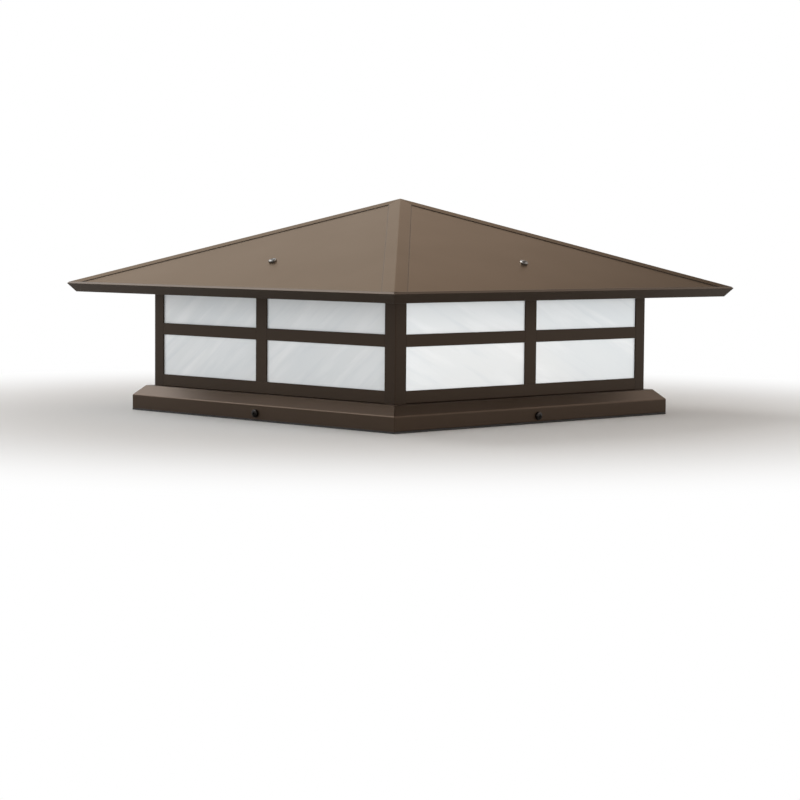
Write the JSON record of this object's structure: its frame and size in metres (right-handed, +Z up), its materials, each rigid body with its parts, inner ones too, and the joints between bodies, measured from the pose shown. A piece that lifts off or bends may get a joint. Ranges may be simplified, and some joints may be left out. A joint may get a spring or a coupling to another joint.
{
  "type": "post cap light",
  "caption": "Low square column-top light: shallow hip roof with wide bevelled eaves over streaked art glass panes in a bronze frame, on a bevelled skirt and mounting bracket",
  "frame": {"origin": "centre of the footprint, on the column top that the light stands on", "axes": "+Z up; -Y is the front, the side towards the left of the picture; +X is the right side, towards the right of the picture"},
  "size_m": [0.5054, 0.5054, 0.2295],
  "materials": {
    "bronze": "dark bronze powder coat, satin",
    "roof_bronze": "bronze coat with a metallic sheen",
    "art_glass": "streaked white and pale blue art glass",
    "dark_steel": "blackened, glossy",
    "plated_steel": "zinc plated",
    "white_enamel": "white reflector paint",
    "porcelain": "glazed",
    "lamp_metal": "bright",
    "lamp_glass": "opal white",
    "black_rubber": "matt",
    "earth_green": "green coat"
  },
  "bodies": {
    "base": {"mounting_bracket": "plated_steel", "cable_grommet": "black_rubber", "ground_screw": "earth_green"},
    "housing": {"base_gasket": "black_rubber", "base_skirt": "bronze", "skirt_screws": "dark_steel", "skirt_nuts": "dark_steel", "glass_clips": "plated_steel", "lamp_tray": "white_enamel", "tray_screws": "plated_steel", "lead_bushing": "black_rubber", "bottom_rail_front": "bronze", "bottom_rail_right": "bronze", "bottom_rail_back": "bronze", "bottom_rail_left": "bronze", "top_rail_front": "bronze", "top_rail_right": "bronze", "top_rail_back": "bronze", "top_rail_left": "bronze", "cross_bar_front": "bronze", "cross_bar_right": "bronze", "cross_bar_back": "bronze", "cross_bar_left": "bronze", "upright_bar_front": "bronze", "upright_bar_right": "bronze", "upright_bar_back": "bronze", "upright_bar_left": "bronze", "glass_panel_front": "art_glass", "glass_panel_right": "art_glass", "glass_panel_back": "art_glass", "glass_panel_left": "art_glass", "corner_post_front_right": "bronze", "corner_post_back_right": "bronze", "corner_post_back_left": "bronze", "corner_post_front_left": "bronze", "lampholder_front_right": "porcelain", "lampholder_back_right": "porcelain", "lampholder_back_left": "porcelain", "lampholder_front_left": "porcelain"},
    "roof": {"roof_screws": "dark_steel", "roof_panel_front": "roof_bronze", "roof_panel_right": "roof_bronze", "roof_panel_back": "roof_bronze", "roof_panel_left": "roof_bronze", "eave_trim_front": "bronze", "eave_trim_right": "bronze", "eave_trim_back": "bronze", "eave_trim_left": "bronze", "hip_cap_front_right": "roof_bronze", "hip_cap_back_right": "roof_bronze", "hip_cap_back_left": "roof_bronze", "hip_cap_front_left": "roof_bronze"},
    "lamp_front_right": {"lamp_cap_front_right": "lamp_metal", "lamp_glass_front_right": "lamp_glass"},
    "lamp_back_right": {"lamp_cap_back_right": "lamp_metal", "lamp_glass_back_right": "lamp_glass"},
    "lamp_back_left": {"lamp_cap_back_left": "lamp_metal", "lamp_glass_back_left": "lamp_glass"},
    "lamp_front_left": {"lamp_cap_front_left": "lamp_metal", "lamp_glass_front_left": "lamp_glass"}
  },
  "joints": [
    {"name": "housing_lift", "type": "slide", "parent": "base", "child": "housing", "axis": [0, 0, 1], "range_m": [0, 0.04]},
    {"name": "roof_lift", "type": "slide", "parent": "housing", "child": "roof", "axis": [0, 0, 1], "range_m": [0, 0.1]},
    {"name": "lamp_front_right_out", "type": "slide", "parent": "housing", "child": "lamp_front_right", "axis": [0, 0, 1], "range_m": [0, 0.03]},
    {"name": "lamp_back_right_out", "type": "slide", "parent": "housing", "child": "lamp_back_right", "axis": [0, 0, 1], "range_m": [0, 0.03]},
    {"name": "lamp_back_left_out", "type": "slide", "parent": "housing", "child": "lamp_back_left", "axis": [0, 0, 1], "range_m": [0, 0.03]},
    {"name": "lamp_front_left_out", "type": "slide", "parent": "housing", "child": "lamp_front_left", "axis": [0, 0, 1], "range_m": [0, 0.03]}
  ]
}
